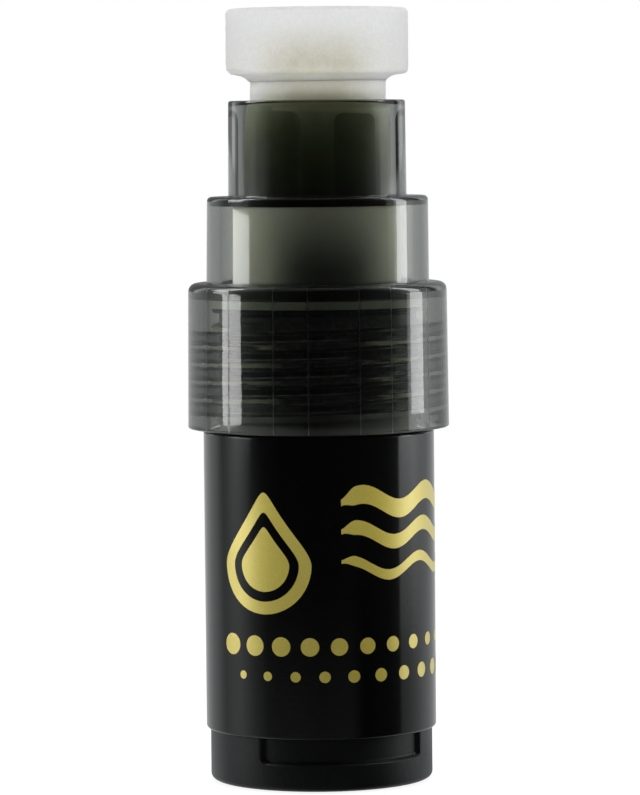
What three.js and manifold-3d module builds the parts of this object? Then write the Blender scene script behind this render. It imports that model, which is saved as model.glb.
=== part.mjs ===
// Pump-action paint marker with a foam-covered round tip, a smoky stepped head and a black barrel.
// Millimetres, +Z up, standing on its base at the origin; -Y is the printed front.
import * as THREE from "three";
import { mergeVertices } from "three/addons/utils/BufferGeometryUtils.js";
import Module from "manifold-3d";

const wasm = await Module();
wasm.setup();

// Tip
const coreRadius = 7.45;
const coverSide = 2.35; // foam thickness around the core
const coverTop = 2.55; // foam thickness above the core
const coverHeight = 7.1;
const coverGap = 2.8; // core showing between the foam and the head's rim
const coverEdge = 0.7; // rounding of the foam's edges
const pressStroke = 2.0; // how far the tip sinks when it is pressed

// Clearances
const slideFit = 0.15; // core in its foam cover and between the ribs
const pinFit = 0.1; // valve stem in its socket, base plug in the barrel
const looseFit = 0.3; // valve housing in the neck, thread crests, flange in the collar
const collarGap = 0.2; // between the collar and the barrel's shoulder

// Head
const coreSpace = 0.55; // between the core and the nib tube's bore
const tubeWall = 1.65;
const tubeHeight = 10.3;
const seatHeight = 9.3; // the step that the cap grips
const seatWall = 1.65;
const seatTopWall = 1.3;
const collarWall = 2.35;
const collarTopWall = 1.6;
const flangeLedge = 1.4; // width of the ledge above the valve flange
const draft = 0.01; // mould draft of the outer walls, in mm for each mm of height
const tubeEdge = 0.25;
const boreEdge = 0.6; // lead-in for the tip
const seatEdge = 0.5;
const collarEdge = 0.9;

// Ribs in the nib tube
const ribCount = 6;
const ribWidth = 4.8;
const ribBelowRim = 1.4;
const ribCorner = 1.0;
const ribRoot = 0.4; // how deep a rib is set into the tube's wall
const firstRib = THREE.MathUtils.degToRad(30);

// Thread
const threadPitch = 1.9;
const threadDepth = 0.8;
const threadCrest = 0.45;
const threadRoot = 1.1;
const threadRunOut = 1.2; // plain neck above and below the thread
const threadFade = 0.17; // of a turn, over which each end of the ridge rises
const ridgeRoot = 0.3; // how deep the ridge is set into its wall
const ridgeDip = 0.1; // how far its ends sink below the wall

// Barrel
const shoulderWidth = 1.8; // barrel radius beyond the neck's
const barrelWall = 1.3;
const barrelLength = 32.4;
const neckWall = 1.2;
const neckLength = 12.8;
const barrelEdge = 0.35;
const neckEdge = 0.4;
const shoulderSlope = 1.9; // height of the cone inside the shoulder

// Base plug
const baseHeight = 5.6;
const baseFloor = 1.6;
const baseDish = 0.6;
const baseFoot = 2.4; // width of the ring that it stands on
const baseEdge = 0.65;
const spigotLength = 6.5;
const spigotWall = 1.3;
const spigotEdge = 0.4;
const keyCount = 2;
const keyHeight = 2.6;
const keyDepth = 0.5;
const keyStart = THREE.MathUtils.degToRad(-32);
const keyWidth = THREE.MathUtils.degToRad(93);

// Valve
const pressSpace = 0.75; // between the core and the valve housing that it sinks into
const valveWall = 1.0;
const sleeveWall = 0.9; // the housing's upper part, which rises round the core
const sleeveGap = 0.5; // from the sleeve's top to the underside of the step
const sleeveEdge = 0.3;
const valveEdge = 0.5;
const valveFloor = 1.2;
const valveDepth = 11.1; // from the flange's underside to the housing's underside
const flangeThickness = 1.0;
const gasketThickness = 0.5;
const stemRadius = 1.5;
const seatHole = 2.6;
const poppetRadius = 3.7;
const poppetThickness = 1.2;
const poppetEdge = 0.4;
const sealThickness = 0.8;
const plateThickness = 1.2;
const plateRise = 0.1; // plate above the flange
const plateInset = 0.15; // plate inside the core's edge
const hubWall = 0.8;
const hubLength = 4.0;
const socketRoof = 1.0;
const inkHoles = 6;
const inkHoleRadius = 1.1;
const inkHoleCircle = 5.0;
const cutOver = 1.0; // how far a cutter runs past what it cuts

// Spring
const wireRadius = 0.3;
const springRadius = 3.05;
const springTurns = 7;
const springEndPitch = 1.05; // the first and the last turn lie closer together
const springSeatGap = 0.08;

// Mixing balls
const ballRadius = 3.0;
const ballOffset = 4.0;
const ballGap = 0.05;

// Smoothness
const roundSides = 36;
const smallSides = 18;
const threadSteps = 18; // in each turn
const springSteps = 12; // in each turn
const wireSides = 6;
const keySides = 8;
const holeSides = 9;
const edgeSteps = 2;

// Radii from the core outwards
const boreRadius = coreRadius + coreSpace;
const tubeRadius = boreRadius + tubeWall;
const coverBore = coreRadius + slideFit;
const coverRadius = coverBore + coverSide;
const valveBore = coreRadius + pressSpace;
const valveRadius = valveBore + valveWall;
const sleeveRadius = valveBore + sleeveWall;
const neckBore = valveRadius + looseFit;
const neckRadius = neckBore + neckWall;
const threadRadius = neckRadius + threadDepth;
const collarBore = threadRadius + looseFit;
const collarRadius = collarBore + collarWall;
const seatBore = collarBore - flangeLedge;
const seatRadius = seatBore + seatWall;
const barrelRadius = neckRadius + shoulderWidth;
const barrelBore = barrelRadius - barrelWall;
const spigotRadius = barrelBore - pinFit;
const chamberRadius = spigotRadius - spigotWall;
const flangeRadius = collarBore - looseFit;
const plateRadius = coreRadius - plateInset;
const socketRadius = stemRadius + pinFit;
const hubRadius = socketRadius + hubWall;

// Heights from the base upwards
const shoulderZ = baseHeight + barrelLength;
const collarZ = shoulderZ + collarGap;
const neckZ = shoulderZ + neckLength;
const gasketZ = neckZ + gasketThickness;
const flangeZ = gasketZ + flangeThickness;
const collarTopZ = flangeZ + collarTopWall;
const seatTopZ = collarTopZ + seatHeight;
const stepZ = seatTopZ - seatTopWall;
const sleeveZ = stepZ - sleeveGap;
const rimZ = seatTopZ + tubeHeight;
const plateZ = flangeZ + plateRise;
const coreZ = plateZ + plateThickness;
const coverZ = rimZ + coverGap;
const tipZ = coverZ + coverHeight;
const coreTopZ = tipZ - coverTop;
const valveZ = gasketZ - valveDepth;
const springZ = valveZ + valveFloor;
const sealZ = valveZ - sealThickness;
const poppetZ = sealZ - poppetThickness;
const socketZ = plateZ + plateThickness - socketRoof;
const threadBottomZ = shoulderZ + threadRunOut;
const threadTopZ = neckZ - threadRunOut;

// Materials
const smoke = new THREE.MeshStandardMaterial({
  color: 0x59605c,
  roughness: 0.08,
  transparent: true,
  opacity: 0.5,
});
const foam = new THREE.MeshStandardMaterial({ color: 0xf1f0ec, roughness: 0.95 });
const felt = new THREE.MeshStandardMaterial({ color: 0xcfccb8, roughness: 0.9 });
const glossBlack = new THREE.MeshStandardMaterial({ color: 0x08090a, roughness: 0.15 });
const satinBlack = new THREE.MeshStandardMaterial({ color: 0x101214, roughness: 0.5 });
const milky = new THREE.MeshStandardMaterial({ color: 0xe4e4dc, roughness: 0.45 });
const rubber = new THREE.MeshStandardMaterial({ color: 0x2a2a2b, roughness: 0.8 });
const steel = new THREE.MeshStandardMaterial({ color: 0xb9bcc0, roughness: 0.25, metalness: 1 });

const marker = new THREE.Group();

// A closed mesh as a solid that can be joined and cut.
function toSolid(geometry) {
  const bare = geometry.index ? geometry.toNonIndexed() : geometry.clone();
  bare.deleteAttribute("normal");
  bare.deleteAttribute("uv");
  const merged = mergeVertices(bare, 1e-4);
  const corners = merged.index.array;
  const kept = [];
  for (let i = 0; i < corners.length; i += 3) {
    const [a, b, c] = corners.slice(i, i + 3);
    if (a !== b && b !== c && c !== a) kept.push(a, b, c);
  }
  return new wasm.Manifold(
    new wasm.Mesh({
      numProp: 3,
      vertProperties: merged.attributes.position.array,
      triVerts: new Uint32Array(kept),
    }),
  );
}

// A solid back as a three.js geometry.
function toGeometry(solid) {
  const mesh = solid.getMesh();
  const geometry = new THREE.BufferGeometry();
  geometry.setAttribute("position", new THREE.BufferAttribute(mesh.vertProperties, 3));
  geometry.setIndex(new THREE.BufferAttribute(mesh.triVerts, 1));
  const faceted = geometry.toNonIndexed();
  faceted.computeVertexNormals();
  return faceted;
}

function addPiece(name, solid, material) {
  const mesh = new THREE.Mesh(toGeometry(solid), material);
  mesh.name = name;
  marker.add(mesh);
}

// A turned solid about Z. Each corner is [radius, height, rounding]; the outline runs outwards along
// the underside and up the outside, and either ends on the axis or closes on itself.
function turned(corners, sides = roundSides) {
  const path = new THREE.Path();
  const point = (i) => new THREE.Vector2(...corners.at(i % corners.length));
  corners.forEach(([, , rounding = 0], i) => {
    const corner = point(i);
    const towards = (j) => point(j).sub(corner).setLength(rounding).add(corner);
    const entry = rounding ? towards(i - 1) : corner;
    if (i === 0) path.moveTo(entry.x, entry.y);
    else path.lineTo(entry.x, entry.y);
    if (!rounding) return;
    const exit = towards(i + 1);
    path.quadraticCurveTo(corner.x, corner.y, exit.x, exit.y);
  });
  const outline = path.getPoints(edgeSteps);
  const onAxis = corners[0][0] === 0 && corners.at(-1)[0] === 0;
  if (!onAxis) outline.push(outline[0].clone());
  return toSolid(new THREE.LatheGeometry(outline, sides).rotateX(Math.PI / 2));
}

// A tube about Z between two radii and two heights.
function sleeve(inner, outer, bottom, top, sides = roundSides) {
  const corners = [
    [inner, bottom],
    [outer, bottom],
    [outer, top],
    [inner, top],
  ];
  return turned(corners, sides);
}

// The thread's ridge: a trapezium swept along the helix, fading into the wall at both ends.
// The helix passes the front at phaseZ; wall and crest are the radii where the ridge starts and ends.
function threadRidge(wall, crest, phaseZ, bottom, top) {
  const outward = Math.sign(crest - wall);
  const buried = wall - ridgeRoot * outward;
  const hidden = wall - ridgeDip * outward;
  const slope = (threadRoot - threadCrest) / threadDepth;
  const buriedWidth = threadRoot + ridgeRoot * slope;
  const startAngle = ((bottom - phaseZ) / threadPitch) * 2 * Math.PI;
  const steps = Math.round(((top - bottom) / threadPitch) * threadSteps);
  const fadeSteps = threadFade * threadSteps;
  const points = [];
  const faces = [];
  for (let i = 0; i <= steps; i++) {
    const angle = startAngle + (i / threadSteps) * 2 * Math.PI;
    const z = bottom + (i / threadSteps) * threadPitch;
    const height = Math.min(1, i / fadeSteps, (steps - i) / fadeSteps);
    const ridge = THREE.MathUtils.lerp(hidden, crest, height);
    const section = [
      [buried, -buriedWidth / 2],
      [ridge, -threadCrest / 2],
      [ridge, threadCrest / 2],
      [buried, buriedWidth / 2],
    ];
    for (const [r, dz] of section) points.push(r * Math.sin(angle), -r * Math.cos(angle), z + dz);
  }
  for (let i = 0; i < steps; i++) {
    for (let k = 0; k < 4; k++) {
      const a = i * 4 + k;
      const b = i * 4 + ((k + 1) % 4);
      faces.push(a, a + 4, b, b, a + 4, b + 4);
    }
  }
  const last = steps * 4;
  faces.push(0, 1, 2, 0, 2, 3);
  faces.push(last, last + 2, last + 1, last, last + 3, last + 2);
  if (outward < 0) faces.reverse();
  const geometry = new THREE.BufferGeometry();
  geometry.setAttribute("position", new THREE.Float32BufferAttribute(points, 3));
  geometry.setIndex(faces);
  return toSolid(geometry);
}

// A round bar along Z at a place in the plan.
function bar(radius, bottom, top, x, y) {
  const cylinder = new THREE.CylinderGeometry(radius, radius, top - bottom, holeSides);
  cylinder.rotateX(Math.PI / 2).translate(x, y, (top + bottom) / 2);
  return toSolid(cylinder);
}

function makeBarrel() {
  const outline = [
    [barrelBore, baseHeight],
    [barrelRadius, baseHeight, barrelEdge],
    [barrelRadius, shoulderZ, barrelEdge],
    [neckRadius, shoulderZ],
    [neckRadius, neckZ, neckEdge],
    [neckBore, neckZ],
    [neckBore, shoulderZ],
    [barrelBore, shoulderZ - shoulderSlope],
  ];
  const ridge = threadRidge(neckRadius, threadRadius, shoulderZ, threadBottomZ, threadTopZ);
  addPiece("barrel", turned(outline).add(ridge), glossBlack);
}

function makeBasePlug() {
  const outline = [
    [0, baseDish],
    [seatRadius - baseEdge - baseFoot, baseDish],
    [seatRadius - baseEdge - baseFoot + baseDish, 0],
    [seatRadius, 0, baseEdge],
    [seatRadius, baseHeight],
    [spigotRadius, baseHeight],
    [spigotRadius, baseHeight + spigotLength, spigotEdge],
    [chamberRadius, baseHeight + spigotLength],
    [chamberRadius, baseFloor],
    [0, baseFloor],
  ];
  let plug = turned(outline);
  for (let i = 0; i < keyCount; i++) {
    const start = keyStart + (i / keyCount) * 2 * Math.PI - Math.PI / 2;
    const sector = new THREE.Shape();
    sector.absarc(0, 0, seatRadius + keyDepth, start, start + keyWidth, false);
    sector.absarc(0, 0, seatRadius - keyDepth, start + keyWidth, start, true);
    const options = { depth: keyHeight + keyDepth, bevelEnabled: false, curveSegments: keySides };
    const cutter = new THREE.ExtrudeGeometry(sector, options);
    plug = plug.subtract(toSolid(cutter.translate(0, 0, baseHeight - keyHeight)));
  }
  addPiece("base_plug", plug, satinBlack);
}

// The gripping ribs inside the nib tube, with rounded tops.
function makeRibs() {
  const height = rimZ - ribBelowRim - stepZ;
  const half = ribWidth / 2;
  const face = new THREE.Shape();
  face.moveTo(-half, 0);
  face.lineTo(half, 0);
  face.lineTo(half, height - ribCorner);
  face.quadraticCurveTo(half, height, half - ribCorner, height);
  face.lineTo(ribCorner - half, height);
  face.quadraticCurveTo(-half, height, -half, height - ribCorner);
  const depth = coreSpace + ribRoot + cutOver;
  const options = { depth, bevelEnabled: false, curveSegments: edgeSteps };
  const ribs = [];
  for (let i = 0; i < ribCount; i++) {
    const block = new THREE.ExtrudeGeometry(face, options);
    block.rotateX(Math.PI / 2).translate(0, -(boreRadius - coreSpace - cutOver), stepZ);
    block.rotateZ(firstRib + (i / ribCount) * 2 * Math.PI);
    ribs.push(toSolid(block));
  }
  const ring = sleeve(coreRadius + slideFit, boreRadius + ribRoot, stepZ, rimZ);
  return wasm.Manifold.union(ribs).intersect(ring);
}

function makeHeadShell() {
  const seatDraft = draft * seatHeight;
  const outline = [
    [collarBore, collarZ, tubeEdge],
    [collarRadius, collarZ, tubeEdge],
    [collarRadius - draft * (collarTopZ - collarZ), collarTopZ, collarEdge],
    [seatRadius, collarTopZ],
    [seatRadius - seatDraft, seatTopZ, seatEdge],
    [tubeRadius, seatTopZ],
    [tubeRadius - draft * tubeHeight, rimZ, tubeEdge],
    [boreRadius, rimZ, boreEdge],
    [boreRadius, stepZ],
    [seatBore, stepZ, tubeEdge],
    [seatBore, flangeZ],
    [collarBore, flangeZ],
  ];
  const phaseZ = shoulderZ + threadPitch / 2;
  const ridge = threadRidge(collarBore, neckRadius + looseFit, phaseZ, threadBottomZ, threadTopZ);
  addPiece("head_shell", turned(outline).add(makeRibs()).add(ridge), smoke);
}

function makeValveBody() {
  const outline = [
    [seatHole, valveZ],
    [valveRadius, valveZ, valveEdge],
    [valveRadius, gasketZ],
    [flangeRadius, gasketZ],
    [flangeRadius, flangeZ],
    [sleeveRadius, flangeZ],
    [sleeveRadius, sleeveZ, sleeveEdge],
    [valveBore, sleeveZ],
    [valveBore, springZ, valveEdge],
    [seatHole, springZ],
  ];
  addPiece("valve_body", turned(outline), milky);
}

function makeNeckGasket() {
  addPiece("neck_gasket", sleeve(neckBore + pinFit, flangeRadius - pinFit, neckZ, gasketZ), rubber);
}

function makePushPlate() {
  const outline = [
    [0, socketZ],
    [socketRadius, socketZ],
    [socketRadius, plateZ - hubLength],
    [hubRadius, plateZ - hubLength],
    [hubRadius, plateZ],
    [plateRadius, plateZ],
    [plateRadius, coreZ],
    [0, coreZ],
  ];
  let plate = turned(outline);
  for (let i = 0; i < inkHoles; i++) {
    const angle = (i / inkHoles) * 2 * Math.PI;
    const x = inkHoleCircle * Math.cos(angle);
    const y = inkHoleCircle * Math.sin(angle);
    plate = plate.subtract(bar(inkHoleRadius, plateZ - cutOver, coreZ + cutOver, x, y));
  }
  addPiece("push_plate", plate, milky);
}

function makeValveStem() {
  const outline = [
    [0, poppetZ],
    [poppetRadius, poppetZ, poppetEdge],
    [poppetRadius, sealZ],
    [stemRadius, sealZ],
    [stemRadius, socketZ],
    [0, socketZ],
  ];
  addPiece("valve_stem", turned(outline, smallSides), milky);
}

function makeStemSeal() {
  const inner = stemRadius + pinFit;
  const outer = poppetRadius - pinFit;
  addPiece("stem_seal", sleeve(inner, outer, sealZ, valveZ, smallSides), rubber);
}

// The spring's centre line: a helix whose end turns are drawn closer than the others.
class SpringLine extends THREE.Curve {
  getPoint(t, target = new THREE.Vector3()) {
    const low = springZ + wireRadius + springSeatGap;
    const high = plateZ - wireRadius - springSeatGap;
    const turn = t * springTurns;
    const midPitch = (high - low - 2 * springEndPitch) / (springTurns - 2);
    const ends = Math.min(turn, 1) + Math.max(turn - springTurns + 1, 0);
    const middle = turn - ends;
    const angle = turn * 2 * Math.PI;
    const z = low + ends * springEndPitch + middle * midPitch;
    return target.set(springRadius * Math.cos(angle), springRadius * Math.sin(angle), z);
  }
}

// The least gap between two turns of the spring, measured on points of its centre line.
function springGap(line) {
  const points = line.getPoints(springTurns * springSteps);
  let least = Infinity;
  points.forEach((p, i) => {
    const others = points.slice(i + springSteps / 2);
    least = Math.min(least, ...others.map((q) => p.distanceTo(q)));
  });
  return least - 2 * wireRadius;
}

function makeSpring() {
  const line = new SpringLine();
  const wire = new THREE.Shape();
  wire.absarc(0, 0, wireRadius, 0, 2 * Math.PI, false);
  const section = new THREE.Shape(wire.getSpacedPoints(wireSides).slice(0, wireSides));
  const options = { steps: springTurns * springSteps, extrudePath: line, bevelEnabled: false };
  console.log("spring: least gap between turns " + springGap(line).toFixed(2) + " mm");
  addPiece("valve_spring", toSolid(new THREE.ExtrudeGeometry(section, options)), steel);
}

function makeNibCore() {
  const outline = [
    [0, coreZ],
    [coreRadius, coreZ, slideFit],
    [coreRadius, coreTopZ, slideFit],
    [0, coreTopZ],
  ];
  addPiece("nib_core", turned(outline), felt);
}

function makeNibCover() {
  const outline = [
    [0, coreTopZ],
    [coverBore, coreTopZ],
    [coverBore, coverZ],
    [coverRadius, coverZ, coverEdge],
    [coverRadius, tipZ, coverEdge],
    [0, tipZ],
  ];
  addPiece("nib_cover", turned(outline), foam);
}

function makeMixingBalls() {
  [-1, 1].forEach((side, i) => {
    const ball = new THREE.SphereGeometry(ballRadius, smallSides, smallSides / 2);
    ball.rotateX(Math.PI / 2).translate(side * ballOffset, 0, baseFloor + ballGap + ballRadius);
    addPiece("mixing_ball_" + (i + 1), toSolid(ball), steel);
  });
}

makeBasePlug();
makeBarrel();
makeMixingBalls();
makeNeckGasket();
makeValveBody();
makeSpring();
makeStemSeal();
makeValveStem();
makePushPlate();
makeHeadShell();
makeNibCore();
makeNibCover();

export default marker;
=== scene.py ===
import math

import bmesh
import bpy
from mathutils import Matrix, Vector, noise


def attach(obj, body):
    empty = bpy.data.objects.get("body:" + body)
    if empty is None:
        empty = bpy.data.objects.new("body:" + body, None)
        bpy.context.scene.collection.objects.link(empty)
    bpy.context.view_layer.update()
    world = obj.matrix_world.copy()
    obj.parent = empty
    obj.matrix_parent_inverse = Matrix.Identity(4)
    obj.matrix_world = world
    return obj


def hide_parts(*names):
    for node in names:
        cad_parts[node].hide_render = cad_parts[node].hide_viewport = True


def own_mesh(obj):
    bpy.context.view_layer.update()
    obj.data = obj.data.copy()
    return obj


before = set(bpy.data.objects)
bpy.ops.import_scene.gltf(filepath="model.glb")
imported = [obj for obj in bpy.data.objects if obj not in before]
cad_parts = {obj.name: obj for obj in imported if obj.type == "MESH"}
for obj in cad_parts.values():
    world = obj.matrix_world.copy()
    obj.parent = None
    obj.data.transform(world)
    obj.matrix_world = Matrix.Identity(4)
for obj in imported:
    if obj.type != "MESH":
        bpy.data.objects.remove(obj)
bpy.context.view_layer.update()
mm = 0.001
fullTurn = 2 * math.pi
scene = bpy.context.scene
scene.view_settings.view_transform = "Standard"
print("frame loaded:", len(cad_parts), "nodes")

# The camera stands in front of the print, level with the head, and looks slightly down.
cameraView = {"distance": 463.5, "height": 69.81, "aside": 0.168, "down": 3.514, "roll": -0.546,
              "lens": 193.88}


def placeCamera():
    data = bpy.data.cameras.new("photoCamera")
    data.sensor_fit = "VERTICAL"
    data.sensor_height = 36.0
    data.lens = cameraView["lens"]
    data.clip_end = 20.0
    camera = bpy.data.objects.new("photoCamera", data)
    scene.collection.objects.link(camera)
    spot = Vector((cameraView["aside"], -cameraView["distance"], cameraView["height"])) * mm
    tilt = Matrix.Rotation(math.radians(90 - cameraView["down"]), 4, "X")
    roll = Matrix.Rotation(math.radians(cameraView["roll"]), 4, "Z")
    camera.matrix_world = Matrix.Translation(spot) @ tilt @ roll
    scene.camera = camera


placeCamera()
print("camera placed")


# Node building. Input names are given with underscores for spaces.

def addNode(tree, kind, **settings):
    node = tree.nodes.new(kind)
    for key, value in settings.items():
        setattr(node, key, value)
    return node


# Links a socket's input, or sets its value.
def feed(socket, value):
    if isinstance(value, bpy.types.NodeSocket):
        socket.id_data.links.new(value, socket)
    elif value is not None:
        socket.default_value = value


def fill(node, **values):
    for key, value in values.items():
        feed(node.inputs[key.replace("_", " ")], value)
    return node


def grey(value):
    return (*value, 1) if isinstance(value, tuple) else (value, value, value, 1)


def ramp(tree, factor, stops, smooth=False):
    node = addNode(tree, "ShaderNodeValToRGB")
    if smooth:
        node.color_ramp.interpolation = "EASE"
    elements = node.color_ramp.elements
    while len(elements) < len(stops):
        elements.new(0.5)
    for element, (place, value) in zip(elements, stops):
        element.position = place
        element.color = grey(value)
    return fill(node, Fac=factor).outputs["Color"]


def calc(tree, operation, first, second=None, third=None):
    node = addNode(tree, "ShaderNodeMath", operation=operation)
    for socket, value in zip(node.inputs, (first, second, third)):
        feed(socket, value)
    return node.outputs[0]


# A mix node's inputs 2 and 3 are its numbers, and 6 and 7 are its colours.
def mixLevel(tree, share, low, high):
    node = addNode(tree, "ShaderNodeMix", data_type="FLOAT")
    for number, value in zip((0, 2, 3), (share, low, high)):
        feed(node.inputs[number], value)
    return node.outputs[0]


def mixColour(tree, factor, first, second, blend="MIX"):
    node = addNode(tree, "ShaderNodeMix", data_type="RGBA", blend_type=blend)
    for number, value in zip((0, 6, 7), (factor, first, second)):
        feed(node.inputs[number], grey(value) if isinstance(value, tuple) else value)
    return node.outputs[2]


def bumpOn(tree, height, strength, distance, normal=None):
    node = addNode(tree, "ShaderNodeBump")
    fill(node, Strength=strength, Distance=distance, Height=height, Normal=normal)
    return node.outputs["Normal"]


# The place on the object, or the direction in the world, as X, Y and Z.
def splitPlace(tree, kind="Object"):
    split = addNode(tree, "ShaderNodeSeparateXYZ")
    fill(split, Vector=addNode(tree, "ShaderNodeTexCoord").outputs[kind])
    return split.outputs["X"], split.outputs["Y"], split.outputs["Z"]


def times(tree, first, second):
    return calc(tree, "MULTIPLY", first, second)


def timesPlus(tree, first, second, third):
    return calc(tree, "MULTIPLY_ADD", first, second, third)


def invert(tree, share):
    return calc(tree, "SUBTRACT", 1.0, share)


# From 0 at the first of two values to 1 at the second.
def fade(tree, factor, span, smooth=False):
    return ramp(tree, factor, [(span[0], 0.0), (span[1], 1.0)], smooth)


# The same between two heights in millimetres.
def heightRamp(tree, low, high, interpolation="SMOOTHSTEP"):
    span = addNode(tree, "ShaderNodeMapRange", interpolation_type=interpolation)
    fill(span, From_Min=low * mm, From_Max=high * mm, Value=splitPlace(tree)[2])
    return span.outputs["Result"]


# The square of the distance from the axis.
def reachSquared(tree, x, y):
    return timesPlus(tree, y, y, times(tree, x, x))


# The distance from the middle plane in centimetres.
def sideways(tree, x):
    return times(tree, calc(tree, "ABSOLUTE", x), 100.0)


def startGroup(name, inputs, outputs):
    tree = bpy.data.node_groups.new(name, "ShaderNodeTree")
    for label, value in inputs.items():
        socket = tree.interface.new_socket(label, in_out="INPUT", socket_type="NodeSocketFloat")
        socket.default_value = value
    for label in outputs:
        tree.interface.new_socket(label, in_out="OUTPUT", socket_type="NodeSocketFloat")
    return tree, addNode(tree, "NodeGroupInput"), addNode(tree, "NodeGroupOutput")


def useGroup(tree, group, **values):
    node = addNode(tree, "ShaderNodeGroup")
    node.node_tree = group
    return fill(node, **values)


def objectNoise(tree, scale, detail, stretch=(1, 1, 1)):
    place = addNode(tree, "ShaderNodeTexCoord").outputs["Object"]
    mapping = fill(addNode(tree, "ShaderNodeMapping"), Scale=stretch, Vector=place)
    texture = addNode(tree, "ShaderNodeTexNoise")
    fill(texture, Detail=detail, Vector=mapping.outputs["Vector"], Scale=scale)
    return texture.outputs["Fac"]


# Noise that is scaled and shifted.
def patchy(tree, look, detail):
    patches = objectNoise(tree, look["patches"], detail)
    return timesPlus(tree, patches, look["patchGain"], look["patchBase"])


# Fine grain: the even texture of moulded plastic and ink, as a height and a speckle mask.
grainLook = {"scale": 4000.0, "coarseScale": 0.31, "coarseGain": 0.4, "speckle": (0.5, 0.72)}


def makeFineGrain():
    look = grainLook
    tree, given, result = startGroup("fineGrain", {"Grain Scale": look["scale"]}, ["Height", "Speckle"])
    scale = given.outputs["Grain Scale"]
    grain = objectNoise(tree, scale, 3.0)
    coarse = objectNoise(tree, times(tree, scale, look["coarseScale"]), 2.0)
    height = timesPlus(tree, coarse, look["coarseGain"], grain)
    fill(result, Height=height, Speckle=fade(tree, grain, look["speckle"]))
    return tree


# Handling marks: faint hairlines and smears that only change the gloss.
handlingLook = {
    "lines": 900.0,
    "lineStretch": (0.35, 0.35, 3.5),
    "hair": [(0.485, 0.0), (0.5, 1.0), (0.515, 0.0)],
    "smears": 120.0,
    "smear": (0.45, 0.75),
}


def makeHandling():
    look = handlingLook
    tree, given, result = startGroup("handling", {"Hairlines": 1.0, "Smears": 1.0}, ["Wear"])
    hair = ramp(tree, objectNoise(tree, look["lines"], 4.0, look["lineStretch"]), look["hair"])
    smear = fade(tree, objectNoise(tree, look["smears"], 3.0), look["smear"])
    total = times(tree, hair, given.outputs["Hairlines"])
    total = timesPlus(tree, smear, given.outputs["Smears"], total)
    fill(result, Wear=total)
    return tree


# Fibres: fine strands that run up a piece, as a height and a strand mask.
fibreLook = {
    "scale": 3000.0,
    "strandStretch": (1, 1, 0.35),
    "tuftScale": 0.35,
    "tuftStretch": (1, 1, 0.5),
    "tuftGain": 0.6,
    "strand": (0.35, 0.65),
}


def makeFibres():
    look = fibreLook
    tree, given, result = startGroup("fibres", {"Fibre Scale": look["scale"]}, ["Height", "Strand"])
    scale = given.outputs["Fibre Scale"]
    strands = objectNoise(tree, scale, 4.0, look["strandStretch"])
    tufts = objectNoise(tree, times(tree, scale, look["tuftScale"]), 3.0, look["tuftStretch"])
    height = timesPlus(tree, tufts, look["tuftGain"], strands)
    fill(result, Height=height, Strand=fade(tree, strands, look["strand"]))
    return tree


# Painted shade: a soft darker, yellower patch low on the front of the tip and its core, where light from the
# sides and top reaches less.
tipFrontShadeLook = {
    "wide": [(0.22, 1.0), (0.8, 0.0)],
    "heights": (76.2, 82.6),
    "patches": 700.0,
    "patchGain": 0.9,
    "patchBase": 0.55,
}


def makeTipFrontShade():
    look = tipFrontShadeLook
    tree, given, result = startGroup("tipFrontShade", {"Strength": 1.0}, ["Mask"])
    x, y = splitPlace(tree)[:2]
    wide = ramp(tree, sideways(tree, x), look["wide"], smooth=True)
    low = invert(tree, heightRamp(tree, *look["heights"]))
    front = calc(tree, "LESS_THAN", y, 0.0)
    total = times(tree, times(tree, wide, low), times(tree, front, patchy(tree, look, 3.0)))
    fill(result, Mask=times(tree, total, given.outputs["Strength"]))
    return tree


fineGrain = makeFineGrain()
handling = makeHandling()
fibres = makeFibres()
tipFrontShade = makeTipFrontShade()
print("node groups made")


# Materials. A bump is (strength, distance in metres), and a grain is (scale, distance in metres).

def startMaterial(name, **values):
    material = bpy.data.materials.new(name)
    material.use_nodes = True
    tree = material.node_tree
    shader = fill(tree.nodes["Principled BSDF"], **values)
    return material, tree, shader


smokePlasticLook = {
    "index": 1.57,
    "roughness": 0.02,
    "absorbs": 348.0,  # per metre, where the colour below is black
    "passes": (0.01, 0.045, 0.0),
    "lineAngle": 38.0,  # the mould's faint upright lines on the collar come in pairs
    "lineStart": -14.0,
    "lineHalf": 7.7,
    "lineWidth": 0.8,
    "lineBump": (0.5, 0.00001),
    "lineRoughness": 0.28,
    "linesOutside": 13.7,
    "clear": (0.98, 0.985, 0.97),
    "boreTint": (0.43, 0.46, 0.33),
    "boreTintHeights": (66.0, 74.5),
    "rimHeights": (72.2, 72.9),
    "boreTintInside": 8.3,
    # ribShade: the ribs painted darker, painted shade where they press on the felt
    "ribShade": (0.3, 0.32, 0.23),
    "ribInside": 7.95,
    "ribShadeShare": 0.85,
    "ripples": 260.0,
    "rippleStretch": (1, 1, 0.4),
    "rippleBump": (0.05, 0.0004),
    "wear": 0.02,
}


# 1 on a mould line and 0 elsewhere, by the degrees to the nearest line of the nearest pair.
def mouldLines(tree, look, x, y, reach):
    turn = calc(tree, "ARCTAN2", x, times(tree, y, -1.0))
    middle = look["lineAngle"] / 2
    degrees = timesPlus(tree, turn, 180 / math.pi, 720 - look["lineStart"] + middle)
    inPair = calc(tree, "SUBTRACT", calc(tree, "MODULO", degrees, look["lineAngle"]), middle)
    away = calc(tree, "ABSOLUTE", calc(tree, "SUBTRACT", calc(tree, "ABSOLUTE", inPair), look["lineHalf"]))
    line = ramp(tree, calc(tree, "DIVIDE", away, look["lineWidth"]), [(0.0, 1.0), (1.0, 0.0)], smooth=True)
    return times(tree, line, calc(tree, "GREATER_THAN", reach, (look["linesOutside"] * mm) ** 2))
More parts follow.
